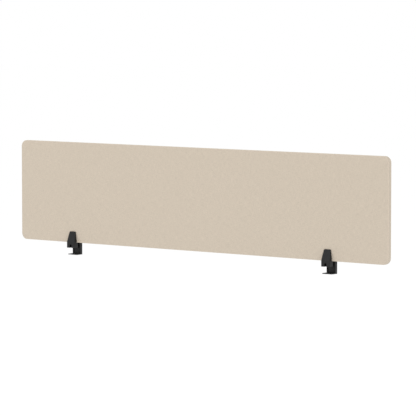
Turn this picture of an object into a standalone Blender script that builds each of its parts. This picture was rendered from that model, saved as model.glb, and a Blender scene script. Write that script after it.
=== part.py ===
"""Fabric-covered desk privacy panel held by two clamp brackets.

X runs along the panel, +Y points away from the sitter, +Z is up.
The origin is on the desk top's surface, midway between the two brackets and
under the panel's mid-plane. Heights in the constants below are counted from
the panel's lower edge, which stands PANEL_RISE above the desk top.
"""
import math

import bmesh
import bpy
from mathutils import Matrix, Vector

MM = 0.001
GAP = 0.3                    # clearance kept between touching pieces
PANEL_RISE = 21.5

# Panel
PANEL_W = 1800.0
PANEL_H = 400.0
PANEL_T = 20.0
CORNER_R = 25.0
COVER_T = 1.0                # fabric with its backing
COVER_RIM = 3.4              # how far each cover turns over the edge
EDGE_R = 2.0                 # soft edge where the cover turns over
CORE_T = 9.0

# Bracket, across the panel and along it
BRACKET_X = 627.0            # from the middle of the panel to each bracket
BRACKET_W = 40.0
FRONT_Y = -25.0
BACK_Y = 24.3
EAR_TOP_Z = 44.0
EAR_TOP_W = 30.5
EAR_TOP_R = 4.0              # corners of the tip, seen from the front
EAR_TOP_EDGE_R = 1.5         # edge of the tip, seen from the side
EAR_TOP_FRONT = 13.0         # front face of the ear's tip from the mid-plane
EAR_WIDTH_BOW = 1.25         # 1 would be a straight taper
FOOT_CHAMFER = 0.4
TAPER_START_Z = 2.0
EAR_INNER_Y = PANEL_T / 2 + 1.0
FOOT_Z = -21.0
SHELF_Z = -GAP
FRONT_SHELF_Y = -3.3
REAR_SHELF_Y = 8.5
CORNER_SIDE_R = 1.8

# Web behind the desk edge, a channel open towards the desk
WEB_FRONT_Y = 10.5
WEB_BOTTOM_Z = -44.5
RAIL_W = 3.0
RAIL_CHAMFER = 0.3
CHANNEL_BACK_Y = 17.0
CHANNEL_TOP_Z = -22.0

# Tongue under the front cheek
TONGUE_W = 26.0
TONGUE_FRONT_Y = -12.0
TONGUE_TOP_Z = -16.3

# Clamp screw and its boss
SCREW_Y = 21.5
BOSS_R = 6.0
BOSS_TOP_Z = -4.0
SCREW_D = 5.0
SCREW_LENGTH = 40.0
SCREW_HEAD_D = 9.4
SCREW_HEAD_H = 2.6
INSERT_D = 6.6
INSERT_LENGTH = 11.0
HEX_AF = 3.0

# Pinch screw through the cheek's foot
PINCH_Z = -12.0
ARCH_W = 10.0
ARCH_DEPTH = 11.0
PINCH_HEAD_D = 8.4
PINCH_HEAD_H = 2.8
PINCH_LENGTH = 30.0
PINCH_INSERT_LENGTH = 8.0

# Sliding lower jaw
JAW_BOTTOM_Z = -49.5
JAW_FRONT_Y = -18.0
JAW_FRONT_R = 1.5
FLANGE_T = 3.6
ROOT_T = 4.7                 # under the web
LEAD_IN = (8.0, 1.2)         # length and height taken off the flange's front underside
STEM_W = 33.2                # runs in the channel
STEM_FRONT_Y = 15.1
STEM_T = 1.6
RIB_W = 28.0                 # stiffens the stem's front
RIB_FRONT_Y = 13.5
STEM_TOP_Z = -24.0
TAB_W = 15.0
TAB_BACK_Y = 28.0

# Rubber pads
EAR_PAD_W = 22.0
EAR_PAD_BOTTOM_Z = 6.0
EAR_PAD_TOP_Z = 36.0
DESK_PAD_W = 20.0
DESK_PAD_Y = (-10.0, 5.0)
JAW_PAD_W = 34.0
JAW_PAD_Y = (-16.0, 9.0)


# ---------------------------------------------------------------- helpers
def clear_scene():
    for obj in list(bpy.data.objects):
        bpy.data.objects.remove(obj, do_unlink=True)
    for mesh in list(bpy.data.meshes):
        bpy.data.meshes.remove(mesh)


def make_material(name, colour, roughness, metallic=0.0):
    mat = bpy.data.materials.new(name)
    mat.use_nodes = True
    bsdf = mat.node_tree.nodes["Principled BSDF"]
    bsdf.inputs["Base Color"].default_value = (*colour, 1.0)
    bsdf.inputs["Roughness"].default_value = roughness
    bsdf.inputs["Metallic"].default_value = metallic
    mat.diffuse_color = (*colour, 1.0)
    return mat


def mesh_object(name, bm, origin=(0.0, 0.0, 0.0)):
    """Turn a bmesh in millimetres into an object with its origin at origin."""
    bmesh.ops.remove_doubles(bm, verts=bm.verts, dist=1e-4)
    bmesh.ops.recalc_face_normals(bm, faces=bm.faces)
    offset = Vector(origin)
    for vert in bm.verts:
        vert.co = (vert.co - offset) * MM
    mesh = bpy.data.meshes.new(name)
    bm.to_mesh(mesh)
    bm.free()
    obj = bpy.data.objects.new(name, mesh)
    obj.location = (offset + Vector((0.0, 0.0, PANEL_RISE))) * MM
    bpy.context.scene.collection.objects.link(obj)
    return obj


def loft(bm, loops, closed=False):
    """Skin equal-length loops of points; closed joins the last to the first."""
    rings = [[bm.verts.new(p) for p in loop] for loop in loops]
    for low, high in zip(rings, rings[1:]):
        bridge(bm, low, high)
    if closed:
        bridge(bm, rings[-1], rings[0])
    else:
        bm.faces.new(rings[0])
        bm.faces.new(rings[-1])


def bridge(bm, low, high):
    """Join two rings of vertices with quads."""
    for i in range(len(low)):
        j = (i + 1) % len(low)
        bm.faces.new((low[i], low[j], high[j], high[i]))


def arc(cx, cy, radius, start, end, steps):
    points = []
    for i in range(steps + 1):
        angle = math.radians(start + (end - start) * i / steps)
        points.append((cx + radius * math.cos(angle), cy + radius * math.sin(angle)))
    return points


def rounded_rect(x0, x1, y0, y1, radii, steps=5):
    """Outline, counter-clockwise; radii for (x0,y0) (x1,y0) (x1,y1) (x0,y1)."""
    r0, r1, r2, r3 = radii
    points = arc(x0 + r0, y0 + r0, r0, 180, 270, steps)
    points += arc(x1 - r1, y0 + r1, r1, 270, 360, steps)
    points += arc(x1 - r2, y1 - r2, r2, 0, 90, steps)
    points += arc(x0 + r3, y1 - r3, r3, 90, 180, steps)
    return points


def placed(point, axis, height):
    """Stand a flat outline's point up at a height along an axis."""
    u, v = point
    if axis == "X":
        return (height, u, v)
    if axis == "Y":
        return (u, height, v)
    return (u, v, height)


def prism(bm, outline, axis, low, high, chamfer=0.0):
    """Extrude a flat outline along an axis, with a small chamfer at both ends."""
    levels = [(low, 0.0), (high, 0.0)]
    if chamfer:
        levels = [(low, chamfer), (low + chamfer, 0.0), (high - chamfer, 0.0), (high, chamfer)]
    loft(bm, [[placed(p, axis, h) for p in inset(outline, d)] for h, d in levels])


def inset(outline, distance):
    """Move each point of a counter-clockwise outline inwards."""
    if not distance:
        return outline
    moved = []
    count = len(outline)
    for i, point in enumerate(outline):
        here = Vector(point)
        before = (here - Vector(outline[i - 1])).normalized()
        after = (Vector(outline[(i + 1) % count]) - here).normalized()
        normal = Vector((-(before.y + after.y), before.x + after.x))
        scale = max(0.25, normal.length_squared / 2)
        moved.append(tuple(here + normal * (distance / scale)))
    return moved


def box(bm, x, y, z):
    outline = [(x[0], y[0]), (x[1], y[0]), (x[1], y[1]), (x[0], y[1])]
    prism(bm, outline, "Z", z[0], z[1])


def cylinder(bm, centre, axis, low, high, radius, steps=32, chamfer=0.0):
    prism(bm, arc(*centre, radius, 0, 360, steps)[:-1], axis, low, high, chamfer)


def turned(bm, centre, axis, profile, steps=32, closed=False):
    """Solid of revolution from (height, radius) pairs; closed makes a tube."""
    loft(bm, [[placed(p, axis, height) for p in arc(*centre, radius, 0, 360, steps)[:-1]]
              for height, radius in profile], closed)


def combine(target, build, operation, label):
    """Join or cut target with the shape that build(bm) draws."""
    bm = bmesh.new()
    build(bm)
    tool = mesh_object(f"{target.name}_{label}", bm)
    tool.hide_render = True
    tool.display_type = "WIRE"
    mod = target.modifiers.new(label, "BOOLEAN")
    mod.operation = operation
    mod.solver = "EXACT"
    mod.object = tool


def cut(target, build, label):
    combine(target, build, "DIFFERENCE", label)


def join(target, build, label):
    combine(target, build, "UNION", label)


def finish(obj, material, smooth_angle=35.0):
    """Give the piece its material and shade its round faces smooth."""
    obj.data.materials.append(material)
    for poly in obj.data.polygons:
        poly.use_smooth = True
    bm = bmesh.new()
    bm.from_mesh(obj.data)
    limit = math.radians(smooth_angle)
    for edge in bm.edges:
        edge.smooth = edge.calc_face_angle(math.pi) < limit
    bm.to_mesh(obj.data)
    bm.free()
    return obj


# ------------------------------------------------------------------ panel
def panel_outline(inset_by):
    """The panel's face outline, moved inwards by inset_by."""
    radius = CORNER_R - inset_by
    half = PANEL_W / 2 - inset_by
    low = inset_by
    high = PANEL_H - inset_by
    return rounded_rect(-half, half, low, high, (radius,) * 4, steps=10)


def panel_ring(y, inset_by):
    return [(x, y, z) for x, z in panel_outline(inset_by)]


def build_board(name, y_low, y_high, inset_by, edge, material):
    bm = bmesh.new()
    loft(bm, [
        panel_ring(y_low, inset_by + edge),
        panel_ring(y_low + edge, inset_by),
        panel_ring(y_high - edge, inset_by),
        panel_ring(y_high, inset_by + edge),
    ])
    return finish(mesh_object(name, bm), material)


def build_cover(name, side, material):
    """Face fabric: a shallow tray whose rim turns over the panel's edge."""
    face = PANEL_T / 2
    rings = [panel_ring(side * (face - COVER_RIM), 0.0)]
    for i in range(7):
        angle = math.radians(90 * i / 6)
        depth = face - EDGE_R + EDGE_R * math.sin(angle)
        rings.append(panel_ring(side * depth, EDGE_R * (1 - math.cos(angle))))
    bm = bmesh.new()
    outer = [[bm.verts.new(p) for p in ring] for ring in rings]
    lining = [
        panel_ring(side * (face - COVER_RIM), COVER_T),
        panel_ring(side * (face - EDGE_R), COVER_T),
        panel_ring(side * (face - COVER_T), EDGE_R),
    ]
    inner = [[bm.verts.new(p) for p in ring] for ring in lining]
    for rings_in in (outer, inner):
        for low, high in zip(rings_in, rings_in[1:]):
            bridge(bm, low, high)
    bridge(bm, outer[0], inner[0])
    bm.faces.new(outer[-1])
    bm.faces.new(inner[-1])
    return finish(mesh_object(name, bm), material)


def build_edge_band(material):
    """Strip of fabric that closes the panel's edge between the two covers."""
    half = PANEL_T / 2 - COVER_RIM - GAP
    bm = bmesh.new()
    loft(bm, [
        panel_ring(-half, COVER_T),
        panel_ring(-half, 0.0),
        panel_ring(half, 0.0),
        panel_ring(half, COVER_T),
    ], closed=True)
    return finish(mesh_object("edge_band", bm), material)


def build_panel(mats):
    inner = COVER_T + GAP
    half_core = CORE_T / 2
    foam_face = PANEL_T / 2 - COVER_T - GAP
    build_board("core_board", -half_core, half_core, inner, 0.5, mats["board"])
    build_board("front_foam", -foam_face, -half_core - GAP, inner, 0.7, mats["foam"])
    build_board("rear_foam", half_core + GAP, foam_face, inner, 0.7, mats["foam"])
    build_cover("front_cover", -1, mats["fabric_front"])
    build_cover("rear_cover", 1, mats["fabric_rear"])
    build_edge_band(mats["fabric_edge"])


# --------------------------------------------------------- bracket shapes
def ear_half_width(z):
    """Half the ear's width: straight at the foot, bowed in towards the tip."""
    full = BRACKET_W / 2
    tip = EAR_TOP_W / 2
    if z <= TAPER_START_Z:
        return full
    share = (z - TAPER_START_Z) / (EAR_TOP_Z - TAPER_START_Z)
    return full - (full - tip) * share ** EAR_WIDTH_BOW


def ear_depth(z, foot):
    """Outer face of the ear from the mid-plane, thick at the foot."""
    if z <= TAPER_START_Z:
        return foot
    share = (z - TAPER_START_Z) / (EAR_TOP_Z - TAPER_START_Z)
    return foot - (foot - EAR_TOP_FRONT) * share


def rounding(below_top, radius):
    """How far a quarter-round edge has come in at this depth below the top."""
    if below_top >= radius:
        return 0.0
    return radius - math.sqrt(radius ** 2 - (radius - below_top) ** 2)


def ear_levels():
    """Heights at which the ear's section is drawn, closer near the tip."""
    levels = [FOOT_Z, FOOT_Z + FOOT_CHAMFER]
    straight = EAR_TOP_Z - EAR_TOP_R
    for i in range(11):
        levels.append(TAPER_START_Z + (straight - TAPER_START_Z) * i / 10)
    for i in range(1, 10):
        levels.append(straight + EAR_TOP_R * math.sin(math.radians(9.2 * i)))
    return levels


def draw_ear(bm, cx, side, foot):
    """Tapered ear standing against one face of the panel."""
    loops = []
    for z in ear_levels():
        chamfer = FOOT_CHAMFER if z == FOOT_Z else 0.0
        half = ear_half_width(z) - rounding(EAR_TOP_Z - z, EAR_TOP_R) - chamfer
        outer = ear_depth(z, foot) - rounding(EAR_TOP_Z - z, EAR_TOP_EDGE_R) - chamfer
        radius = min(CORNER_SIDE_R, (outer - EAR_INNER_Y) * 0.6)
        outline = rounded_rect(-half, half, EAR_INNER_Y, outer, (0.4, 0.4, radius, radius))
        loops.append([(cx + x, side * y, z) for x, y in outline])
    loft(bm, loops)


def draw_web(bm, cx):
    half = BRACKET_W / 2
    inner = half - RAIL_W
    outline = [(-half + RAIL_CHAMFER, WEB_FRONT_Y), (-inner, WEB_FRONT_Y), (-inner, CHANNEL_BACK_Y)]
    outline += [(inner, CHANNEL_BACK_Y), (inner, WEB_FRONT_Y)]
    outline += [(half - RAIL_CHAMFER, WEB_FRONT_Y), (half, WEB_FRONT_Y + RAIL_CHAMFER)]
    outline += arc(half - CORNER_SIDE_R, BACK_Y - CORNER_SIDE_R, CORNER_SIDE_R, 0, 90, 5)
    outline += arc(-half + CORNER_SIDE_R, BACK_Y - CORNER_SIDE_R, CORNER_SIDE_R, 90, 180, 5)
    outline += [(-half, WEB_FRONT_Y + RAIL_CHAMFER)]
    prism(bm, [(cx + x, y) for x, y in outline], "Z", WEB_BOTTOM_Z, FOOT_Z + 2.0)


def draw_boss(bm, cx):
    profile = [(WEB_BOTTOM_Z, BOSS_R - 0.5), (WEB_BOTTOM_Z + 0.5, BOSS_R)]
    for i in range(6):
        angle = math.radians(80 * i / 5)
        height = BOSS_TOP_Z - BOSS_R + BOSS_R * math.sin(angle)
        profile.append((height, BOSS_R * math.cos(angle)))
    turned(bm, (cx, SCREW_Y), "Z", profile)


def arch_outline(cx, width, bottom, centre_z):
    half = width / 2
    points = arc(cx, centre_z, half, 0, 180, 12)
    return [(cx - half, bottom), (cx + half, bottom)] + points


def draw_ear_pad_pocket(bm, cx, side, grow):
    """Pocket for the pad that faces the panel."""
    half = EAR_PAD_W / 2 + grow
    outline = rounded_rect(
        cx - half, cx + half, EAR_PAD_BOTTOM_Z - grow, EAR_PAD_TOP_Z + grow, (3.0,) * 4)
    ends = sorted((side * (EAR_INNER_Y - 1.0), side * (EAR_INNER_Y + 0.9)))
    prism(bm, outline, "Y", *ends)


# --------------------------------------------------------- bracket pieces
def build_body(side, cx, mats):
    """Rear ear, foot, tongue, channel web and screw boss in one casting."""
    half = BRACKET_W / 2
    bm = bmesh.new()
    draw_ear(bm, cx, 1, BACK_Y)
    body = mesh_object(f"{side}_body", bm)
    join(body, lambda b: box(b, (cx - half + 0.3, cx + half - 0.3), (REAR_SHELF_Y, EAR_INNER_Y + 2),
                             (FOOT_Z + 0.3, SHELF_Z)), "shelf")
    join(body, lambda b: box(b, (cx - TONGUE_W / 2, cx + TONGUE_W / 2),
                             (TONGUE_FRONT_Y, REAR_SHELF_Y + 2), (FOOT_Z, TONGUE_TOP_Z)), "tongue")
    join(body, lambda b: draw_web(b, cx), "web")
    join(body, lambda b: draw_boss(b, cx), "boss")
    trim = (cx - half + RAIL_W, cx + half - RAIL_W)
    cut(body, lambda b: box(b, trim, (WEB_FRONT_Y - 1, CHANNEL_BACK_Y),
                            (WEB_BOTTOM_Z - 1, CHANNEL_TOP_Z)), "channel")
    cut(body, lambda b: cylinder(b, (cx, SCREW_Y), "Z", WEB_BOTTOM_Z - 1,
                                 WEB_BOTTOM_Z + INSERT_LENGTH + 0.8, INSERT_D / 2 + GAP), "seat")
    cut(body, lambda b: cylinder(b, (cx, SCREW_Y), "Z", WEB_BOTTOM_Z, BOSS_TOP_Z - 3.0,
                                 SCREW_D / 2 + GAP), "bore")
    cut(body, lambda b: cylinder(b, (cx, PINCH_Z), "Y", REAR_SHELF_Y - 1,
                                 REAR_SHELF_Y + PINCH_INSERT_LENGTH + 0.8,
                                 INSERT_D / 2 + GAP), "pinch_seat")
    cut(body, lambda b: draw_ear_pad_pocket(b, cx, 1, GAP), "pad_pocket")
    cut(body, lambda b: box(b, (cx - DESK_PAD_W / 2 - GAP, cx + DESK_PAD_W / 2 + GAP),
                            (DESK_PAD_Y[0] - GAP, DESK_PAD_Y[1] + GAP),
                            (FOOT_Z - 1, FOOT_Z + 1.0)), "desk_pad_pocket")
    return finish(body, mats["body"])


def build_cheek(side, cx, mats):
    """Front ear and foot, drawn towards the body by the pinch screw."""
    half = BRACKET_W / 2
    bm = bmesh.new()
    draw_ear(bm, cx, -1, -FRONT_Y)
    cheek = mesh_object(f"{side}_cheek", bm)
    join(cheek, lambda b: box(b, (cx - half + 0.3, cx + half - 0.3), (-EAR_INNER_Y - 2, FRONT_SHELF_Y),
                              (FOOT_Z + 0.3, SHELF_Z)), "shelf")
    cut(cheek, lambda b: box(b, (cx - TONGUE_W / 2 - GAP, cx + TONGUE_W / 2 + GAP),
                             (TONGUE_FRONT_Y - GAP, FRONT_SHELF_Y + 1),
                             (FOOT_Z - 1, TONGUE_TOP_Z + GAP)), "tongue_recess")
    cut(cheek, lambda b: prism(b, arch_outline(cx, ARCH_W, FOOT_Z - 1, PINCH_Z), "Y",
                               FRONT_Y - 1, FRONT_Y + ARCH_DEPTH), "arch")
    cut(cheek, lambda b: cylinder(b, (cx, PINCH_Z), "Y", FRONT_Y, FRONT_SHELF_Y + 1,
                                  SCREW_D / 2 + GAP), "pinch_bore")
    cut(cheek, lambda b: draw_ear_pad_pocket(b, cx, -1, GAP), "pad_pocket")
    return finish(cheek, mats["cheek"])


def build_ear_pad(name, cx, side, material):
    outline = rounded_rect(cx - EAR_PAD_W / 2, cx + EAR_PAD_W / 2,
                           EAR_PAD_BOTTOM_Z, EAR_PAD_TOP_Z, (2.7,) * 4)
    ends = sorted((side * (PANEL_T / 2 + GAP), side * (EAR_INNER_Y + 0.6)))
    bm = bmesh.new()
    prism(bm, outline, "Y", *ends)
    return finish(mesh_object(name, bm), material)


def build_flat_pad(name, cx, width, y_span, z_span, material):
    outline = rounded_rect(cx - width / 2, cx + width / 2, *y_span, (1.5,) * 4)
    bm = bmesh.new()
    prism(bm, outline, "Z", *z_span)
    centre = (cx, sum(y_span) / 2, sum(z_span) / 2)
    return finish(mesh_object(name, bm, centre), material)


def build_jaw(side, cx, mats):
    """Steel lower jaw: flange under the desk top and a stem in the channel."""
    half = BRACKET_W / 2
    axis = (cx, SCREW_Y, JAW_BOTTOM_Z)
    flange_top = JAW_BOTTOM_Z + FLANGE_T
    root_top = JAW_BOTTOM_Z + ROOT_T
    outline = rounded_rect(cx - half, cx + half, JAW_FRONT_Y, BACK_Y,
                           (JAW_FRONT_R, JAW_FRONT_R, CORNER_SIDE_R, CORNER_SIDE_R))
    bm = bmesh.new()
    prism(bm, outline, "Z", JAW_BOTTOM_Z, flange_top, chamfer=0.4)
    jaw = mesh_object(f"{side}_jaw", bm, axis)
    join(jaw, lambda b: prism(b, rounded_rect(cx - half, cx + half, WEB_FRONT_Y + 0.5, BACK_Y,
                                              (0.5, 0.5, CORNER_SIDE_R, CORNER_SIDE_R)),
                              "Z", JAW_BOTTOM_Z + 0.4, root_top), "root")
    join(jaw, lambda b: prism(b, rounded_rect(cx - TAB_W / 2, cx + TAB_W / 2, BACK_Y - 4, TAB_BACK_Y,
                                              (0.5, 0.5, 5.0, 5.0)),
                              "Z", JAW_BOTTOM_Z + 0.2, root_top - 0.2), "tab")
    join(jaw, lambda b: box(b, (cx - STEM_W / 2, cx + STEM_W / 2),
                            (STEM_FRONT_Y, STEM_FRONT_Y + STEM_T),
                            (root_top - 1.0, STEM_TOP_Z)), "stem")
    join(jaw, lambda b: box(b, (cx - RIB_W / 2, cx + RIB_W / 2),
                            (RIB_FRONT_Y, STEM_FRONT_Y + 0.5),
                            (root_top - 1.0, STEM_TOP_Z - 0.4)), "rib")
    length, height = LEAD_IN
    slope = height / length
    wedge = [(JAW_FRONT_Y - 1, JAW_BOTTOM_Z + height + slope), (JAW_FRONT_Y - 1, JAW_BOTTOM_Z - slope),
             (JAW_FRONT_Y + length + 1, JAW_BOTTOM_Z - slope)]
    cut(jaw, lambda b: prism(b, wedge, "X", cx - half - 1, cx + half + 1), "lead_in")
    cut(jaw, lambda b: cylinder(b, (cx, SCREW_Y), "Z", JAW_BOTTOM_Z - 1, root_top + 1,
                                SCREW_D / 2 + GAP), "screw_hole")
    cut(jaw, lambda b: turned(b, (cx, SCREW_Y), "Z", [
        (JAW_BOTTOM_Z - 1.0, SCREW_HEAD_D / 2 + GAP),
        (JAW_BOTTOM_Z + 0.6, SCREW_HEAD_D / 2 + GAP),
        (JAW_BOTTOM_Z + SCREW_HEAD_H + GAP, SCREW_D / 2 + GAP)]), "countersink")
    cut(jaw, lambda b: box(b, (cx - JAW_PAD_W / 2 - GAP, cx + JAW_PAD_W / 2 + GAP),
                           (JAW_PAD_Y[0] - GAP, JAW_PAD_Y[1] + GAP),
                           (flange_top - 0.6, flange_top + 1.0)), "pad_pocket")
    return finish(jaw, mats["jaw"])


def hex_outline(cx, cy, across_flats):
    return arc(cx, cy, across_flats / math.sqrt(3), 0, 360, 6)[:-1]


def build_clamp_screw(side, cx, mats):
    """Countersunk hex-socket screw, turned from beneath."""
    bottom = JAW_BOTTOM_Z + 0.2
    radius = SCREW_D / 2 - GAP / 2
    top = bottom + SCREW_LENGTH
    bm = bmesh.new()
    turned(bm, (cx, SCREW_Y), "Z", [
        (bottom, SCREW_HEAD_D / 2 - 0.3),
        (bottom + 0.3, SCREW_HEAD_D / 2),
        (bottom + SCREW_HEAD_H - 0.2, radius),
        (top - 0.8, radius),
        (top, radius - 0.8),
    ])
    screw = mesh_object(f"{side}_clamp_screw", bm, (cx, SCREW_Y, bottom))
    cut(screw, lambda b: prism(b, hex_outline(cx, SCREW_Y, HEX_AF), "Z",
                               bottom - 1, bottom + 2.0), "socket")
    return finish(screw, mats["clamp_screw"])


def build_pinch_screw(side, cx, mats):
    """Socket cap screw in the arch, pulling the cheek against the panel."""
    seat = FRONT_Y + ARCH_DEPTH - GAP
    radius = SCREW_D / 2 - GAP / 2
    tip = seat + PINCH_LENGTH
    bm = bmesh.new()
    turned(bm, (cx, PINCH_Z), "Y", [
        (seat - PINCH_HEAD_H, PINCH_HEAD_D / 2 - 0.5),
        (seat - PINCH_HEAD_H + 0.5, PINCH_HEAD_D / 2),
        (seat, PINCH_HEAD_D / 2),
        (seat + 0.01, radius),
        (tip - 0.8, radius),
        (tip, radius - 0.8),
    ])
    screw = mesh_object(f"{side}_pinch_screw", bm)
    cut(screw, lambda b: prism(b, hex_outline(cx, PINCH_Z, 4.0), "Y",
                               seat - PINCH_HEAD_H - 1, seat - PINCH_HEAD_H + 2.6), "socket")
    return finish(screw, mats["pinch_screw"])


def build_insert(name, centre, axis, low, high, material):
    """Threaded brass sleeve pressed into the casting."""
    inner = SCREW_D / 2 + 0.1
    outer = INSERT_D / 2
    bm = bmesh.new()
    turned(bm, centre, axis, [(low, inner), (low, outer), (high, outer), (high, inner)], closed=True)
    return finish(mesh_object(name, bm), material)


def build_bracket(side, cx, mats):
    build_body(side, cx, mats)
    build_cheek(side, cx, mats)
    build_ear_pad(f"{side}_front_grip", cx, -1, mats["grip"])
    build_ear_pad(f"{side}_rear_grip", cx, 1, mats["grip"])
    build_flat_pad(f"{side}_desk_pad", cx, DESK_PAD_W, DESK_PAD_Y,
                   (FOOT_Z - 0.5, FOOT_Z + 0.7), mats["pad"])
    flange_top = JAW_BOTTOM_Z + FLANGE_T
    build_flat_pad(f"{side}_jaw_pad", cx, JAW_PAD_W, JAW_PAD_Y,
                   (flange_top - 0.3, flange_top + 0.5), mats["pad"])
    build_jaw(side, cx, mats)
    build_clamp_screw(side, cx, mats)
    build_insert(f"{side}_clamp_insert", (cx, SCREW_Y), "Z",
                 WEB_BOTTOM_Z + 0.5, WEB_BOTTOM_Z + 0.5 + INSERT_LENGTH, mats["insert"])
    build_pinch_screw(side, cx, mats)
    build_insert(f"{side}_pinch_insert", (cx, PINCH_Z), "Y",
                 REAR_SHELF_Y + 0.5, REAR_SHELF_Y + 0.5 + PINCH_INSERT_LENGTH, mats["insert"])


def make_materials():
    return {
        "fabric_front": make_material("beige_fabric_front", (0.64, 0.55, 0.45), 0.9),
        "fabric_rear": make_material("beige_fabric_rear", (0.64, 0.55, 0.45), 0.9),
        "fabric_edge": make_material("beige_fabric_edge", (0.62, 0.53, 0.43), 0.9),
        "foam": make_material("grey_foam", (0.45, 0.45, 0.45), 1.0),
        "board": make_material("fibre_board", (0.42, 0.29, 0.17), 0.8),
        "body": make_material("black_coat_body", (0.035, 0.035, 0.035), 0.5),
        "cheek": make_material("black_coat_cheek", (0.035, 0.035, 0.035), 0.5),
        "jaw": make_material("black_coat_jaw", (0.03, 0.03, 0.03), 0.45),
        "grip": make_material("grip_rubber", (0.02, 0.02, 0.02), 0.8),
        "pad": make_material("pad_rubber", (0.025, 0.025, 0.025), 0.85),
        "clamp_screw": make_material("zinc_clamp_screw", (0.55, 0.55, 0.57), 0.35, 1.0),
        "pinch_screw": make_material("black_pinch_screw", (0.02, 0.02, 0.02), 0.4, 1.0),
        "insert": make_material("brass_insert", (0.7, 0.5, 0.2), 0.35, 1.0),
    }


def main():
    clear_scene()
    mats = make_materials()
    build_panel(mats)
    build_bracket("left", -BRACKET_X, mats)
    build_bracket("right", BRACKET_X, mats)


main()
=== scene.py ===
import math

import bmesh
import bpy
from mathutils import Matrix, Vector, geometry, noise


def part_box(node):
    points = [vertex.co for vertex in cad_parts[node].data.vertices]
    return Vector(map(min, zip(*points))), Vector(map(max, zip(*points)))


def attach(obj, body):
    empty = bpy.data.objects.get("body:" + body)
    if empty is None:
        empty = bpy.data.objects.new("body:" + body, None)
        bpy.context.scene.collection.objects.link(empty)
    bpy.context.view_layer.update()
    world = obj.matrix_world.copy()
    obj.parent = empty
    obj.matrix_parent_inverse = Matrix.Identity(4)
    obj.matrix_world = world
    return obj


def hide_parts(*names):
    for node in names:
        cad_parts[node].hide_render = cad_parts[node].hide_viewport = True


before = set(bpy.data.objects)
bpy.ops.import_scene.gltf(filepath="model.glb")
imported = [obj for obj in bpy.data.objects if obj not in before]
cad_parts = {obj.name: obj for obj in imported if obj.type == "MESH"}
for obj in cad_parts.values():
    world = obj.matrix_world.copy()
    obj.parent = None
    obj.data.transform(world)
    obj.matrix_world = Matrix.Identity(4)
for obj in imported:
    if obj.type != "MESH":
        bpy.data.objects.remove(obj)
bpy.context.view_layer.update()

MM = 0.001
SIDES = ("left", "right")
BODY = "screen"


# ------------------------------------------------------------ measurements
def span(node):
    """A CAD node's lowest and highest corners in millimetres."""
    low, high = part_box(node)
    return Vector(low) / MM, Vector(high) / MM


PANEL_LOW, PANEL_HIGH = span("edge_band")
FACE_Y = span("rear_cover")[1].y
HALF_W = PANEL_HIGH.x
BOTTOM_Z = PANEL_LOW.z
TOP_Z = PANEL_HIGH.z
CORNER_R = 25.0
EDGE_R = 2.0                 # of the cloth where it turns over the edge
BAND_HALF = PANEL_HIGH.y     # half the strip's width between its seams
CROWN = 0.55                 # how far the foam swells the faces
CROWN_REACH = 26.0           # from the folded edge to the full crown
RIPPLE_REACH = 12.0          # from the folded edge to the full ripple
PRESS_REACH = 22.0           # from an ear to where the cloth stands free again
BRACKETS = {side: sum(v.x for v in span(f"{side}_cheek")) / 2 for side in SIDES}

EAR_TOP_Z = span("left_cheek")[1].z
HALF_BRACKET = 20.0
CASTING_EDGE_R = 0.35

CORNER_STEPS = 16            # steps of the outline round a corner
LONG_STEPS = 224             # along the top or bottom
SHORT_STEPS = 44             # along an end
FACE_GRID = 12.0             # spacing of the points inside a cover

PAINTED_LIGHT_LAYER = "painted_edge_light"          # vertex layer of painted light: below 0.5 painted shade in a seam, above it a painted highlight where the cloth turns over the edge
FLAT_TONE = 0.5
FOLD_HIGHLIGHT = 0.45             # painted highlight added to FLAT_TONE where the cloth turns over the edge
# painted shade in the seams
SEAM_SHADE = 0.25
COVER_THICKNESS = 0.9
BAND_THICKNESS = 0.7
TURNED_IN = 1.0              # cloth of the edge strip inside each seam

SHANK_R = 2.35               # M5 screws
THREAD_DEPTH = 0.42
THREAD_PITCH = 0.8
SCREW_STEPS = 36             # points round a screw, a multiple of 6

# Screw heads as (distance from the face, radius, knurl), and their sockets as
# (width across flats, depth).
COUNTERSUNK_HEAD = ((0.0, 4.3, 0.0), (0.12, 4.55, 0.0), (0.35, 4.7, 0.0), (2.5, SHANK_R, 0.0))
COUNTERSUNK_SOCKET = (3.0, 2.0)
LOW_HEAD = ((0.0, 3.7, 0.0), (0.2, 3.95, 0.0), (0.45, 4.12, 0.06), (2.65, 4.12, 0.06),
            (2.79, 4.0, 0.0), (2.8, SHANK_R, 0.0))
LOW_SOCKET = (4.0, 2.0)

INSERT_STEPS = 48
INSERT_R = 3.25
INSERT_RIM_R = 2.95          # chamfered at both ends
INSERT_GROOVE_R = 3.0
INSERT_KNURL = 0.05
INSERT_BORE_R = 2.62
INSERT_THREAD = 0.09

RIB_PITCH = 2.4
RIB_FLOOR = 0.45             # the solid share of a pad's thickness
# One rib: share of the pitch, then share of the rib's height.
RIB_PROFILE = ((0.0, 0.7), (0.08, 1.0), (0.5, 1.0), (0.6, 0.7), (0.64, 0.0), (0.96, 0.0))

FLOOR_Z = -720.0             # the room's floor below the desk top
CAMERA_YAW = 38.24
CAMERA_PITCH = 4.45
CAMERA_DISTANCE = 11.195     # metres from the aim
CAMERA_AIM = (0.0512, 0.0, 0.1912)
CAMERA_FOCUS = 2909.7        # focal length in pixels of a picture 416 wide


# ---------------------------------------------------------------- meshes
def mesh_piece(name, bm, material, smooth=40.0):
    """Turn a bmesh in millimetres into a shown object with smooth round faces."""
    bmesh.ops.recalc_face_normals(bm, faces=bm.faces)
    bmesh.ops.scale(bm, vec=(MM, MM, MM), verts=bm.verts)
    mesh = bpy.data.meshes.new(name)
    bm.to_mesh(mesh)
    bm.free()
    obj = bpy.data.objects.new(name, mesh)
    bpy.context.scene.collection.objects.link(obj)
    mesh.materials.append(material)
    shade(obj, smooth)
    return obj


def stand_for(piece, node, body):
    """Let a piece replace a CAD node and on its body."""
    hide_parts(node)
    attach(piece, body)


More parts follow.
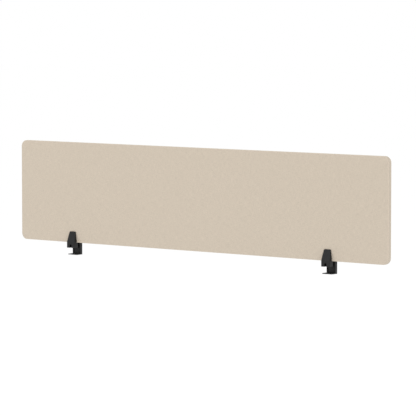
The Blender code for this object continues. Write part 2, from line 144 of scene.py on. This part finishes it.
def shade(obj, limit):
    """Smooth shading that stays crisp at edges sharper than limit degrees."""
    bm = bmesh.new()
    bm.from_mesh(obj.data)
    for face in bm.faces:
        face.smooth = True
    for edge in bm.edges:
        edge.smooth = edge.calc_face_angle(math.pi) < math.radians(limit)
    bm.to_mesh(obj.data)
    bm.free()


def loft(bm, loops, closed=False):
    """Skin equal-length loops; closed joins the last loop to the first."""
    rings = [[bm.verts.new(p) for p in loop] for loop in loops]
    for low, high in zip(rings, rings[1:]):
        bridge(bm, low, high)
    if closed:
        bridge(bm, rings[-1], rings[0])
    else:
        bm.faces.new(rings[0])
        bm.faces.new(rings[-1])


def bridge(bm, low, high):
    """Join two rings of as many points with four-sided faces."""
    count = len(low)
    for i in range(count):
        j = (i + 1) % count
        bm.faces.new((low[i], low[j], high[j], high[i]))


def placed(point, axis, height):
    """A point of a section, set at a height along its axis."""
    u, v = point
    if axis == "X":
        return (height, u, v)
    if axis == "Y":
        return (u, height, v)
    return (u, v, height)


def prism(bm, section, axis, low, high):
    """Sweep a closed section straight along an axis."""
    loft(bm, [[placed(p, axis, h) for p in section] for h in (low, high)])


# -------------------------------------------------------------- materials
class Nodes:
    """Small helper for building one procedural material."""

    def __init__(self, name, colour, roughness, metallic=0.0):
        self.mat = bpy.data.materials.new(name)
        self.mat.use_nodes = True
        self.tree = self.mat.node_tree
        self.bsdf = self.tree.nodes["Principled BSDF"]
        self.set(self.bsdf, "Base Color", (*colour, 1.0))
        self.set(self.bsdf, "Roughness", roughness)
        self.set(self.bsdf, "Metallic", metallic)

    def set(self, node, socket, value):
        node.inputs[socket].default_value = value

    def link(self, source, node, socket):
        self.tree.links.new(source, node.inputs[socket])

    def add(self, kind, **settings):
        node = self.tree.nodes.new(kind)
        for key, value in settings.items():
            setattr(node, key, value)
        return node

    def value(self, operation, a, b=None, c=None):
        """Arithmetic on numbers and sockets."""
        node = self.add("ShaderNodeMath", operation=operation)
        for index, term in enumerate((a, b, c)):
            if term is None:
                continue
            if isinstance(term, (int, float)):
                node.inputs[index].default_value = term
            else:
                self.tree.links.new(term, node.inputs[index])
        return node.outputs[0]

    def coords(self, kind="Object"):
        """Texture coordinates: Object, or UV on the cloth."""
        return self.add("ShaderNodeTexCoord").outputs[kind]

    def noise(self, vector, scale, detail=3.0, roughness=0.55, stretch=None):
        if stretch:
            mapping = self.add("ShaderNodeMapping")
            mapping.inputs["Scale"].default_value = stretch
            self.link(vector, mapping, "Vector")
            vector = mapping.outputs[0]
        tex = self.add("ShaderNodeTexNoise")
        self.link(vector, tex, "Vector")
        self.set(tex, "Scale", scale)
        self.set(tex, "Detail", detail)
        self.set(tex, "Roughness", roughness)
        return tex.outputs["Fac"]

    def ramp(self, fac, stops):
        """Colour ramp with (position, colour) stops."""
        node = self.add("ShaderNodeValToRGB")
        self.link(fac, node, "Fac")
        elements = node.color_ramp.elements
        while len(elements) < len(stops):
            elements.new(0.5)
        for element, (position, colour) in zip(elements, stops):
            element.position = position
            element.color = (*colour, 1.0)
        return node.outputs["Color"]

    def mix(self, fac, a, b, blend="MIX"):
        """Mix two colours, each a tuple or a socket."""
        node = self.add("ShaderNodeMix", data_type="RGBA", blend_type=blend)
        for socket, term in (("Factor", fac), ("A", a), ("B", b)):
            target = next(s for s in node.inputs if s.name == socket
                          and s.type == ("VALUE" if socket == "Factor" else "RGBA"))
            if isinstance(term, (int, float)):
                target.default_value = term
            elif isinstance(term, tuple):
                target.default_value = (*term, 1.0)
            else:
                self.tree.links.new(term, target)
        return next(s for s in node.outputs if s.type == "RGBA")

    def spread(self, fac, low, high):
        """Map a 0 to 1 value onto low to high."""
        node = self.add("ShaderNodeMapRange")
        self.link(fac, node, "Value")
        self.set(node, "To Min", low)
        self.set(node, "To Max", high)
        return node.outputs[0]

    def bump(self, height, distance, strength):
        """Surface relief, with its distance in millimetres."""
        node = self.add("ShaderNodeBump")
        self.set(node, "Distance", distance * MM)
        self.set(node, "Strength", strength)
        self.link(height, node, "Height")
        self.link(node.outputs[0], self.bsdf, "Normal")


def shaded(colour, factor):
    """A colour made darker or lighter."""
    return tuple(c * factor for c in colour)


def woven(name, colour, thread=1.1):
    """Plain weave of slightly uneven heathered yarn; its UVs are in metres."""
    n = Nodes(name, colour, 0.9)
    n.set(n.bsdf, "Sheen Weight", 0.12)
    n.set(n.bsdf, "Sheen Roughness", 0.6)
    n.set(n.bsdf, "Specular IOR Level", 0.2)
    uv = n.coords("UV")
    wobble = n.noise(uv, 90.0, 2.0)
    split = n.add("ShaderNodeSeparateXYZ")
    n.link(uv, split, "Vector")
    drift = n.value("MULTIPLY_ADD", wobble, 0.35, -0.17)
    across = n.value("ADD", n.value("MULTIPLY", split.outputs["X"], 1 / (thread * MM)), drift)
    along = n.value("ADD", n.value("MULTIPLY", split.outputs["Y"], 1 / (thread * MM)), drift)
    warp = n.value("ABSOLUTE", n.value("SINE", n.value("MULTIPLY", across, math.pi)))
    weft = n.value("ABSOLUTE", n.value("SINE", n.value("MULTIPLY", along, math.pi)))
    parity = n.value("ADD", n.value("FLOOR", across), n.value("FLOOR", along))
    over = n.value("PINGPONG", parity, 1.0)
    warp_up = n.value("MULTIPLY", warp, n.value("MULTIPLY_ADD", weft, 0.45, 0.55))
    weft_up = n.value("MULTIPLY", weft, n.value("MULTIPLY_ADD", warp, 0.45, 0.55))
    blend = n.add("ShaderNodeMix", data_type="FLOAT")
    n.link(over, blend, "Factor")
    n.link(warp_up, blend, "A")
    n.link(weft_up, blend, "B")
    weave = blend.outputs["Result"]
    warp_fleck = n.noise(uv, 60.0, 4.0, 0.7, stretch=(14.0, 0.8, 1.0))
    weft_fleck = n.noise(uv, 60.0, 4.0, 0.7, stretch=(0.8, 14.0, 1.0))
    fleck = n.value("MULTIPLY", n.value("ADD", warp_fleck, weft_fleck), 0.5)
    heather = n.ramp(fleck, [(0.36, shaded(colour, 0.86)), (0.5, colour),
                             (0.64, shaded(colour, 1.13))])
    cloud = n.noise(uv, 5.0, 2.0)
    toned = n.mix(n.spread(cloud, 0.0, 0.09), heather, shaded(colour, 0.9))
    # Darker where the weave dips between threads, a little lighter on their crowns: painted shade
    # and painted highlight of the weave.
    depth = n.ramp(weave, [(0.0, (0.72, 0.70, 0.68)), (0.45, (0.97, 0.97, 0.97)),
                           (1.0, (1.06, 1.06, 1.06))])
    # Painted light from the vertex layer: a painted highlight over the folded edges, painted shade
    # in the seams.
    painted_edge_light = n.add("ShaderNodeAttribute", attribute_name=PAINTED_LIGHT_LAYER).outputs["Fac"]
    edge_lit = n.mix(1.0, toned, n.spread(painted_edge_light, 0.8, 1.2), "MULTIPLY")
    n.link(n.mix(1.0, edge_lit, depth, "MULTIPLY"), n.bsdf, "Base Color")
    n.link(n.spread(weave, 0.97, 0.84), n.bsdf, "Roughness")
    fuzz = n.noise(uv, 2600.0, 2.0)
    height = n.value("MULTIPLY_ADD", fuzz, 0.25, weave)
    n.bump(height, 0.22, 0.8)
    return n.mat


def coated(name, colour, roughness, grain=0.35):
    """Satin powder coat: fine pebbled skin, a little drift in gloss."""
    n = Nodes(name, colour, roughness)
    n.set(n.bsdf, "Specular IOR Level", 0.32)
    at = n.coords()
    coarse = n.noise(at, 900.0, 2.0, 0.5)
    fine = n.noise(at, 2600.0, 1.0, 0.5)
    pebble = n.value("MULTIPLY_ADD", fine, 0.35, coarse)
    drift = n.noise(at, 70.0, 3.0)
    tone = n.ramp(drift, [(0.35, shaded(colour, 0.85)), (0.65, shaded(colour, 1.2))])
    # Lighter on the raised pebbles and darker in the pits between them: painted light and shade of
    # the relief.
    pebble_light = n.ramp(n.value("MULTIPLY", pebble, 0.74),
                     [(0.36, (0.35,) * 3), (0.5, (0.95,) * 3), (0.66, (2.0,) * 3)])
    n.link(n.mix(1.0, tone, pebble_light, "MULTIPLY"), n.bsdf, "Base Color")
    n.link(n.spread(n.value("MULTIPLY_ADD", pebble, 0.5, n.value("MULTIPLY", drift, 0.5)),
                    roughness - 0.09, roughness + 0.12), n.bsdf, "Roughness")
    n.bump(pebble, grain * 0.25, 0.8)
    return n.mat


def rubbery(name, colour):
    """Matt moulded rubber with dust in its skin."""
    n = Nodes(name, colour, 0.86)
    n.set(n.bsdf, "Specular IOR Level", 0.15)
    at = n.coords()
    skin = n.noise(at, 900.0, 4.0, 0.65)
    dust = n.noise(at, 120.0, 3.0)
    n.link(n.ramp(dust, [(0.4, colour), (0.75, shaded(colour, 1.7))]), n.bsdf, "Base Color")
    n.link(n.spread(skin, 0.72, 0.94), n.bsdf, "Roughness")
    n.bump(skin, 0.05, 0.6)
    return n.mat


def machined(name, colour, roughness, along):
    """Turned or plated metal with fine marks running round its axis."""
    n = Nodes(name, colour, roughness, metallic=1.0)
    at = n.coords()
    stretch = {"Y": (0.15, 9.0, 0.15), "Z": (0.15, 0.15, 9.0)}[along]
    marks = n.noise(at, 420.0, 4.0, 0.6, stretch=stretch)
    patina = n.noise(at, 260.0, 3.0)
    n.link(n.ramp(patina, [(0.3, shaded(colour, 0.8)), (0.7, shaded(colour, 1.12))]),
           n.bsdf, "Base Color")
    n.link(n.spread(marks, roughness - 0.1, roughness + 0.15), n.bsdf, "Roughness")
    n.bump(marks, 0.02, 0.5)
    return n.mat


def fibreboard(name, colour):
    """Pressed fibre with a faint direction."""
    n = Nodes(name, colour, 0.85)
    at = n.coords()
    fibre = n.noise(at, 240.0, 6.0, 0.75, stretch=(0.5, 4.0, 1.0))
    n.link(n.ramp(fibre, [(0.3, shaded(colour, 0.72)), (0.55, colour), (0.75, shaded(colour, 1.3))]),
           n.bsdf, "Base Color")
    n.link(n.spread(fibre, 0.78, 0.93), n.bsdf, "Roughness")
    n.bump(fibre, 0.08, 0.7)
    return n.mat


def open_cell(name, colour):
    """Foam cut through its pores."""
    n = Nodes(name, colour, 0.95)
    n.set(n.bsdf, "Specular IOR Level", 0.1)
    at = n.coords()
    cells = n.add("ShaderNodeTexVoronoi", feature="SMOOTH_F1")
    n.link(at, cells, "Vector")
    n.set(cells, "Scale", 700.0)
    pore = cells.outputs["Distance"]
    # Darker in the pits of the pore relief, lighter on its ridges: painted shade and painted
    # highlight.
    n.link(n.ramp(pore, [(0.1, shaded(colour, 0.6)), (0.5, colour), (0.8, shaded(colour, 1.15))]),
           n.bsdf, "Base Color")
    n.link(n.spread(pore, 0.88, 1.0), n.bsdf, "Roughness")
    n.bump(pore, 0.25, 0.8)
    return n.mat


def make_materials():
    beige = (0.6045, 0.525, 0.4275)
    return {
        "face": woven("woven_face", beige),
        # the strip's cloth is the face cloth made darker: painted shade on the panel's edge faces
        "band": woven("woven_band_painted_shade", shaded(beige, 0.965)),
        "foam": open_cell("open_cell_foam", (0.42, 0.42, 0.43)),
        "board": fibreboard("fibre_board_core", (0.40, 0.28, 0.17)),
        "casting": coated("powder_coat_casting", (0.0055, 0.0055, 0.0056), 0.46),
        "steel": coated("powder_coat_steel", (0.0048, 0.0048, 0.0049), 0.42, grain=0.25),
        "rubber": rubbery("pad_rubber", (0.006, 0.006, 0.0062)),
        "zinc": machined("zinc_plate", (0.58, 0.58, 0.60), 0.36, "Z"),
        "oxide": machined("black_oxide", (0.03, 0.03, 0.032), 0.42, "Y"),
        "brass_z": machined("brass_turned_z", (0.72, 0.52, 0.22), 0.34, "Z"),
        "brass_y": machined("brass_turned_y", (0.72, 0.52, 0.22), 0.34, "Y"),
    }


# ------------------------------------------------------------------ panel
def outline(inset):
    """Evenly stepped outline of the panel with its outward directions."""
    radius = max(CORNER_R - inset, 0.5)
    left = -HALF_W + CORNER_R
    right = HALF_W - CORNER_R
    low = BOTTOM_Z + CORNER_R
    high = TOP_Z - CORNER_R
    corners = [(left, low, 180), (right, low, 270), (right, high, 0), (left, high, 90)]
    points = []
    for index, (cx, cz, start) in enumerate(corners):
        for i in range(CORNER_STEPS + 1):
            angle = math.radians(start + 90 * i / CORNER_STEPS)
            direction = (math.cos(angle), math.sin(angle))
            points.append((cx + radius * direction[0], cz + radius * direction[1], direction))
        here = points[-1]
        nx, nz, start_next = corners[(index + 1) % 4]
        angle = math.radians(start_next)
        there = (nx + radius * math.cos(angle), nz + radius * math.sin(angle))
        steps = LONG_STEPS if index % 2 == 0 else SHORT_STEPS
        for i in range(1, steps):
            t = i / steps
            points.append((here[0] + (there[0] - here[0]) * t,
                           here[1] + (there[1] - here[1]) * t, here[2]))
    return points


def edge_distance(x, z):
    """Distance from a point on the face to the panel's outline."""
    dx = HALF_W - abs(x)
    dz = min(z - BOTTOM_Z, TOP_Z - z)
    if dx < CORNER_R and dz < CORNER_R:
        return CORNER_R - math.hypot(CORNER_R - dx, CORNER_R - dz)
    return min(dx, dz)


def ease(t):
    """Smooth step from 0 to 1."""
    t = min(max(t, 0.0), 1.0)
    return t * t * (3 - 2 * t)


def ear_pressure(x, z):
    """1 under a bracket's ear, falling to 0 a little way round it."""
    best = 0.0
    for cx in BRACKETS.values():
        away_x = max(abs(x - cx) - HALF_BRACKET - 1.0, 0.0)
        away_z = max(z - EAR_TOP_Z - 1.0, 0.0)
        best = max(best, 1 - ease(math.hypot(away_x, away_z) / PRESS_REACH))
    return best


def face_height(x, z):
    """How far the covered face stands from the mid-plane."""
    from_fold = edge_distance(x, z) - EDGE_R
    pressed = ear_pressure(x, z)
    swell = CROWN * ease(from_fold / CROWN_REACH)
    ripple = noise.noise(Vector((x / 170, z / 120, 3.1))) * 0.16
    ripple += noise.noise(Vector((x / 45, z / 60, 7.7))) * 0.05
    ripple *= ease(from_fold / RIPPLE_REACH)
    return FACE_Y + (swell + ripple) * (1 - pressed) - 0.05 * pressed


def pucker(index, inset):
    """Tiny gathers where the seam draws the cloth in."""
    return 0.09 * math.sin(index * 1.9) * max(0.0, 1 - inset / 6.0)


def edge_light_tone(run, depth):
    """Painted light of the cover at a distance run over its folded edge: painted shade in the seam,
    a painted highlight over the folded edge.
    """
    if depth < BAND_HALF + 0.5:
        return SEAM_SHADE
    return FLAT_TONE + FOLD_HIGHLIGHT * ease(run / (EDGE_R * math.pi / 2))


def build_face_fabric(name, side, material):
    """Cover from the seam, over the rounded edge and across the whole face."""
    bm = bmesh.new()
    tone = bm.verts.layers.float.new(PAINTED_LIGHT_LAYER)
    uv_of = {}
    rings = []
    rim = [(BAND_HALF + 0.15, 1.0), (BAND_HALF + 0.25, 0.25), (BAND_HALF + 0.9, 0.0)]
    rim += [(FACE_Y - EDGE_R + EDGE_R * math.sin(math.radians(a)),
             EDGE_R * (1 - math.cos(math.radians(a)))) for a in range(0, 91, 15)]
    run = sum(math.dist(a, b) for a, b in zip(rim, rim[1:]))
    previous = rim[0]
    for depth, inset in rim:
        run -= math.dist(previous, (depth, inset))
        previous = (depth, inset)
        ring = []
        for index, (x, z, direction) in enumerate(outline(inset)):
            lift = pucker(index, 2.0 + run) if inset > 0 and depth > FACE_Y - 1 else 0.0
            vert = bm.verts.new((x, side * (depth + lift), z))
            # painted highlight over the folded edge, painted shade in the seam
            vert[tone] = edge_light_tone(run, depth)
            uv_of[vert] = (x + direction[0] * run, z + direction[1] * run)
            ring.append(vert)
        rings.append(ring)
    for low, high in zip(rings, rings[1:]):
        bridge(bm, low, high)
    fill_face(bm, rings[-1], side, uv_of, tone)
    set_uvs(bm, uv_of)
    piece = mesh_piece(name, bm, material, smooth=75.0)
    thicken(piece, COVER_THICKNESS)
    return piece


def fill_face(bm, rim, side, uv_of, tone):
    """Triangulate the face inside the rim over a regular grid of points."""
    flat = [(v.co.x, v.co.z) for v in rim]
    verts = list(rim)
    for inset in (4.0, 7.5):
        for x, z, _ in outline(inset):
            flat.append((x, z))
            verts.append(None)
    columns = int(2 * HALF_W / FACE_GRID)
    rows = int((TOP_Z - BOTTOM_Z) / FACE_GRID)
    for i in range(1, columns):
        for j in range(1, rows):
            x = -HALF_W + 2 * HALF_W * i / columns
            z = BOTTOM_Z + (TOP_Z - BOTTOM_Z) * j / rows
            if edge_distance(x, z) > FACE_GRID:
                flat.append((x, z))
                verts.append(None)
    count = len(rim)
    edges = [(i, (i + 1) % count) for i in range(count)]
    points, _, faces, origins, *_ = geometry.delaunay_2d_cdt(
        [Vector(p) for p in flat], edges, [], 1, 1e-6, True)
    for index, point in enumerate(points):
        source = origins[index][0]
        if verts[source] is None:
            vert = bm.verts.new((point.x, side * face_height(point.x, point.y), point.y))
            vert[tone] = FLAT_TONE
            uv_of[vert] = (point.x, point.y)
            verts[source] = vert
    lookup = [verts[origins[i][0]] for i in range(len(points))]
    for face in faces:
        bm.faces.new([lookup[i] for i in face])


def set_uvs(bm, uv_of):
    """Write each point's place on the flat cloth, in metres."""
    layer = bm.loops.layers.uv.new("UVMap")
    for face in bm.faces:
        for corner in face.loops:
            u, v = uv_of[corner.vert]
            corner[layer].uv = (u * MM, v * MM)


def thicken(piece, thickness):
    """Give a single layer of cloth its thickness, inwards."""
    solid = piece.modifiers.new("thickness", "SOLIDIFY")
    solid.thickness = thickness * MM
    solid.offset = -1.0


def build_edge_fabric(name, material):
    """Strip sewn between the two covers, slightly domed between its seams."""
    profile = [(-1.0, 1.0), (-0.985, 0.25), (-0.9, 0.02), (-0.45, -0.12), (0.0, -0.16),
               (0.45, -0.12), (0.9, 0.02), (0.985, 0.25), (1.0, 1.0)]
    bm = bmesh.new()
    tone = bm.verts.layers.float.new(PAINTED_LIGHT_LAYER)
    uv_of = {}
    rings = []
    for share, inset in profile:
        ring = []
        walked = 0.0
        points = outline(inset)
        last = points[0][:2]
        for x, z, _ in points:
            walked += math.dist(last, (x, z))
            last = (x, z)
            vert = bm.verts.new((x, share * (BAND_HALF - 0.05), z))
            # painted shade along the strip's seams
            vert[tone] = FLAT_TONE if abs(share) < 0.95 else SEAM_SHADE
            uv_of[vert] = (walked, share * (BAND_HALF + TURNED_IN))
            ring.append(vert)
        rings.append(ring)
    for low, high in zip(rings, rings[1:]):
        bridge(bm, low, high)
    set_uvs(bm, uv_of)
    piece = mesh_piece(name, bm, material, smooth=75.0)
    thicken(piece, BAND_THICKNESS)
    return piece


def build_foam(name, side, material):
    """Foam sheet, flat on both faces, with its edges eased."""
    low, high = span("front_foam" if side < 0 else "rear_foam")
    near = min(abs(low.y), abs(high.y))
    far = max(abs(low.y), abs(high.y))
    margin = HALF_W - high.x
    bm = bmesh.new()
    rings = []
    for depth, inset in ((near, margin + 0.6), (near + 0.6, margin), (far - 0.9, margin),
                         (far - 0.25, margin + 0.35), (far, margin + 1.0)):
        rings.append([bm.verts.new((x, side * depth, z)) for x, z, _ in outline(inset)])
    for a, b in zip(rings, rings[1:]):
        bridge(bm, a, b)
    bm.faces.new(rings[0])
    bm.faces.new(rings[-1])
    return mesh_piece(name, bm, material, smooth=60.0)


def build_panel(mats):
    """The two covers, the foam under them and the strip between them."""
    for side, word in ((-1, "front"), (1, "rear")):
        face = build_face_fabric(f"{word}_fabric", side, mats["face"])
        stand_for(face, f"{word}_cover", BODY)
        foam = build_foam(f"{word}_foam_layer", side, mats["foam"])
        stand_for(foam, f"{word}_foam", BODY)
    band = build_edge_fabric("edge_fabric", mats["band"])
    stand_for(band, "edge_band", BODY)


# --------------------------------------------------------------- brackets
def polar(centre, radius, angle):
    """The point at an angle and a radius from a centre."""
    return centre[0] + radius * math.cos(angle), centre[1] + radius * math.sin(angle)


def hexagon(centre, across_flats, steps):
    """A hexagon drawn with as many points as the round sections beside it."""
    points = []
    for i in range(steps):
        angle = 2 * math.pi * i / steps
        from_flat = (angle % (math.pi / 3)) - math.pi / 6
        radius = across_flats / 2 / math.cos(from_flat)
        points.append(polar(centre, radius, angle))
    return points


def circle(centre, radius, steps, knurl=0.0):
    """A round section; a knurl moves its points out and in by turns."""
    points = []
    for i in range(steps):
        depth = knurl if i % 2 else -knurl
        points.append(polar(centre, radius + depth, 2 * math.pi * i / steps))
    return points


def thread_ring(centre, along, start, end, steps):
    """Section of an M5 thread, running out at both of its ends."""
    fade = min(1.0, (along - start) / THREAD_PITCH, (end - along) / THREAD_PITCH)
    points = []
    for i in range(steps):
        phase = (along / THREAD_PITCH - i / steps) % 1.0
        crest = min(1.0, max(0.0, 2.6 * (0.5 - abs(phase - 0.5)) - 0.1))
        radius = SHANK_R - THREAD_DEPTH * (1 - crest * fade)
        points.append(polar(centre, radius, 2 * math.pi * i / steps))
    return points


def screw_axis(node, axis):
    """Centre of a turned node across its axis, where it starts and its length."""
    low, high = span(node)
    middle = (low + high) / 2
    if axis == "Z":
        return (middle.x, middle.y), low.z, high.z - low.z
    return (middle.x, middle.z), low.y, high.y - low.y


def build_screw(name, node, axis, head, socket, material):
    """Hex-socket screw: head profile, then a real thread down to its tip."""
    centre, start, length = screw_axis(node, axis)
    flats, depth = socket
    rings = [(depth + 0.5, circle(centre, 0.05, SCREW_STEPS))]
    for along, grow in ((depth, 0.0), (0.2, 0.0), (0.0, 0.25)):
        rings.append((along, hexagon(centre, flats + grow, SCREW_STEPS)))
    for along, radius, knurl in head:
        rings.append((along, circle(centre, radius, SCREW_STEPS, knurl)))
    thread_start = head[-1][0] + 0.1
    thread_end = length - 0.7
    turns = int((thread_end - thread_start) / THREAD_PITCH * 7)
    for i in range(1, turns):
        along = thread_start + (thread_end - thread_start) * i / turns
        rings.append((along, thread_ring(centre, along, thread_start, thread_end, SCREW_STEPS)))
    rings.append((length - 0.5, circle(centre, SHANK_R - THREAD_DEPTH, SCREW_STEPS)))
    rings.append((length, circle(centre, SHANK_R - THREAD_DEPTH - 0.45, SCREW_STEPS)))
    bm = bmesh.new()
    loft(bm, [[placed(p, axis, start + along) for p in ring] for along, ring in rings])
    return mesh_piece(name, bm, material, smooth=32.0)


def build_ribbed_pad(name, node, upwards, material):
    """Moulded pad: a thin sheet with ribs that run along the desk's edge."""
    low, high = span(node)
    base, tip = (low.z, high.z) if upwards else (high.z, low.z)
    floor = base + (tip - base) * RIB_FLOOR
    count = int((high.y - low.y) / RIB_PITCH)
    pitch = (high.y - low.y) / count
    section = [(low.y, base), (high.y, base)]
    for i in range(count):
        edge = high.y - i * pitch
        for share, height in RIB_PROFILE:
            section.append((edge - share * pitch, floor + (tip - floor) * height))
    bm = bmesh.new()
    prism(bm, section, "X", low.x, high.x)
    return mesh_piece(name, bm, material, smooth=50.0)


def build_insert(name, node, axis, material):
    """Brass insert: two knurled bands with a groove between them, and a threaded bore."""
    centre, start, length = screw_axis(node, axis)
    half = [(0.0, INSERT_RIM_R, 0.0), (0.3, INSERT_R, 0.0), (0.35, INSERT_R, INSERT_KNURL),
            (length * 0.42, INSERT_R, INSERT_KNURL), (length * 0.45, INSERT_GROOVE_R, 0.0)]
    bands = half + [(length - along, radius, knurl) for along, radius, knurl in reversed(half)]
    rings = [(along, circle(centre, radius, INSERT_STEPS, knurl)) for along, radius, knurl in bands]
    turns = int(length / THREAD_PITCH * 4)
    for i in range(turns + 1):
        along = length * (1 - i / turns)
        radius = INSERT_BORE_R + INSERT_THREAD * (i % 2)
        rings.append((along, circle(centre, radius, INSERT_STEPS)))
    bm = bmesh.new()
    loft(bm, [[placed(p, axis, start + along) for p in ring] for along, ring in rings], closed=True)
    return mesh_piece(name, bm, material, smooth=25.0)


def build_bracket_details(side, mats):
    """The screws, inserts and pads that the CAD draws plain, at full detail."""
    screws = (("clamp", "Z", COUNTERSUNK_HEAD, COUNTERSUNK_SOCKET, "zinc", "zinc_steel"),
              ("pinch", "Y", LOW_HEAD, LOW_SOCKET, "oxide", "black_screw"))
    for word, axis, head, socket, finish, slot in screws:
        node = f"{side}_{word}_screw"
        screw = build_screw(f"{side}_{word}_bolt", node, axis, head, socket, mats[finish])
        stand_for(screw, node, f"{side}_{word}_body")
    for word, axis in (("clamp", "Z"), ("pinch", "Y")):
        node = f"{side}_{word}_insert"
        insert = build_insert(f"{side}_{word}_bush", node, axis, mats["brass_" + axis.lower()])
        stand_for(insert, node, BODY)
    for word, upwards, body in (("desk", False, BODY), ("jaw", True, f"{side}_jaw_body")):
        node = f"{side}_{word}_pad"
        pad = build_ribbed_pad(f"{side}_{word}_rubber", node, upwards, mats["rubber"])
        stand_for(pad, node, body)


def paint_cad(mats):
    """Give every CAD node that stays its procedural finish."""
    words = {"core_board": "board", "body": "casting", "cheek": "casting", "jaw": "steel",
             "grip": "rubber"}
    for name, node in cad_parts.items():
        for ending, key in words.items():
            if name.endswith(ending):
                node.data.materials.clear()
                node.data.materials.append(mats[key])
                if key in ("casting", "steel"):
                    soften(node, CASTING_EDGE_R)


def soften(node, radius):
    """Round a CAD casting's crisp edges without touching its mesh."""
    bevel = node.modifiers.new("edges", "BEVEL")
    bevel.width = radius * MM
    bevel.segments = 3
    bevel.limit_method = "ANGLE"
    bevel.angle_limit = math.radians(30)


# ------------------------------------------------------------------ studio
def build_stage():
    """White surroundings, a pale floor far below and two soft lamps."""
    world = bpy.data.worlds.new("studio")
    bpy.context.scene.world = world
    world.use_nodes = True
    background = world.node_tree.nodes["Background"]
    background.inputs["Color"].default_value = (1.0, 1.0, 1.0, 1.0)
    background.inputs["Strength"].default_value = 1.0
    n = Nodes("pale_floor", (0.5, 0.5, 0.5), 1.0)
    n.set(n.bsdf, "Specular IOR Level", 0.0)
    n.set(n.bsdf, "Emission Color", (1.0, 1.0, 1.0, 1.0))
    n.set(n.bsdf, "Emission Strength", 0.5)
    bm = bmesh.new()
    square = [(-60000, -60000), (60000, -60000), (60000, 60000), (-60000, 60000)]
    prism(bm, square, "Z", FLOOR_Z - 10, FLOOR_Z)
    floor = mesh_piece("floor", bm, n.mat)
    light("key", (-2.2, -3.6, 4.2), 3.0, 45.0)
    light("fill", (4.4, -1.4, 2.6), 3.0, 25.0)


def light(name, place, size, power):
    """A round soft lamp that points at the panel."""
    data = bpy.data.lights.new(name, "AREA")
    data.shape = "DISK"
    data.size = size
    data.energy = power
    obj = bpy.data.objects.new(name, data)
    obj.location = place
    aim = Vector((0.0, 0.0, 0.2)) - obj.location
    obj.rotation_euler = aim.to_track_quat("-Z", "Y").to_euler()
    bpy.context.scene.collection.objects.link(obj)


def build_camera():
    """The photographer's place: ahead, to the right and slightly above."""
    data = bpy.data.cameras.new("camera")
    data.sensor_width = 36.0
    data.lens = CAMERA_FOCUS / 416.0 * data.sensor_width
    data.clip_end = 60.0
    yaw = math.radians(CAMERA_YAW)
    pitch = math.radians(CAMERA_PITCH)
    away = Vector((math.sin(yaw) * math.cos(pitch),
                   -math.cos(yaw) * math.cos(pitch),
                   math.sin(pitch)))
    camera = bpy.data.objects.new("camera", data)
    camera.location = Vector(CAMERA_AIM) + away * CAMERA_DISTANCE
    camera.rotation_euler = (-away).to_track_quat("-Z", "Y").to_euler()
    scene = bpy.context.scene
    scene.collection.objects.link(camera)
    scene.camera = camera
    scene.view_settings.view_transform = "Standard"


def main():
    mats = make_materials()
    build_panel(mats)
    for side in SIDES:
        build_bracket_details(side, mats)
    paint_cad(mats)
    build_stage()
    build_camera()


main()
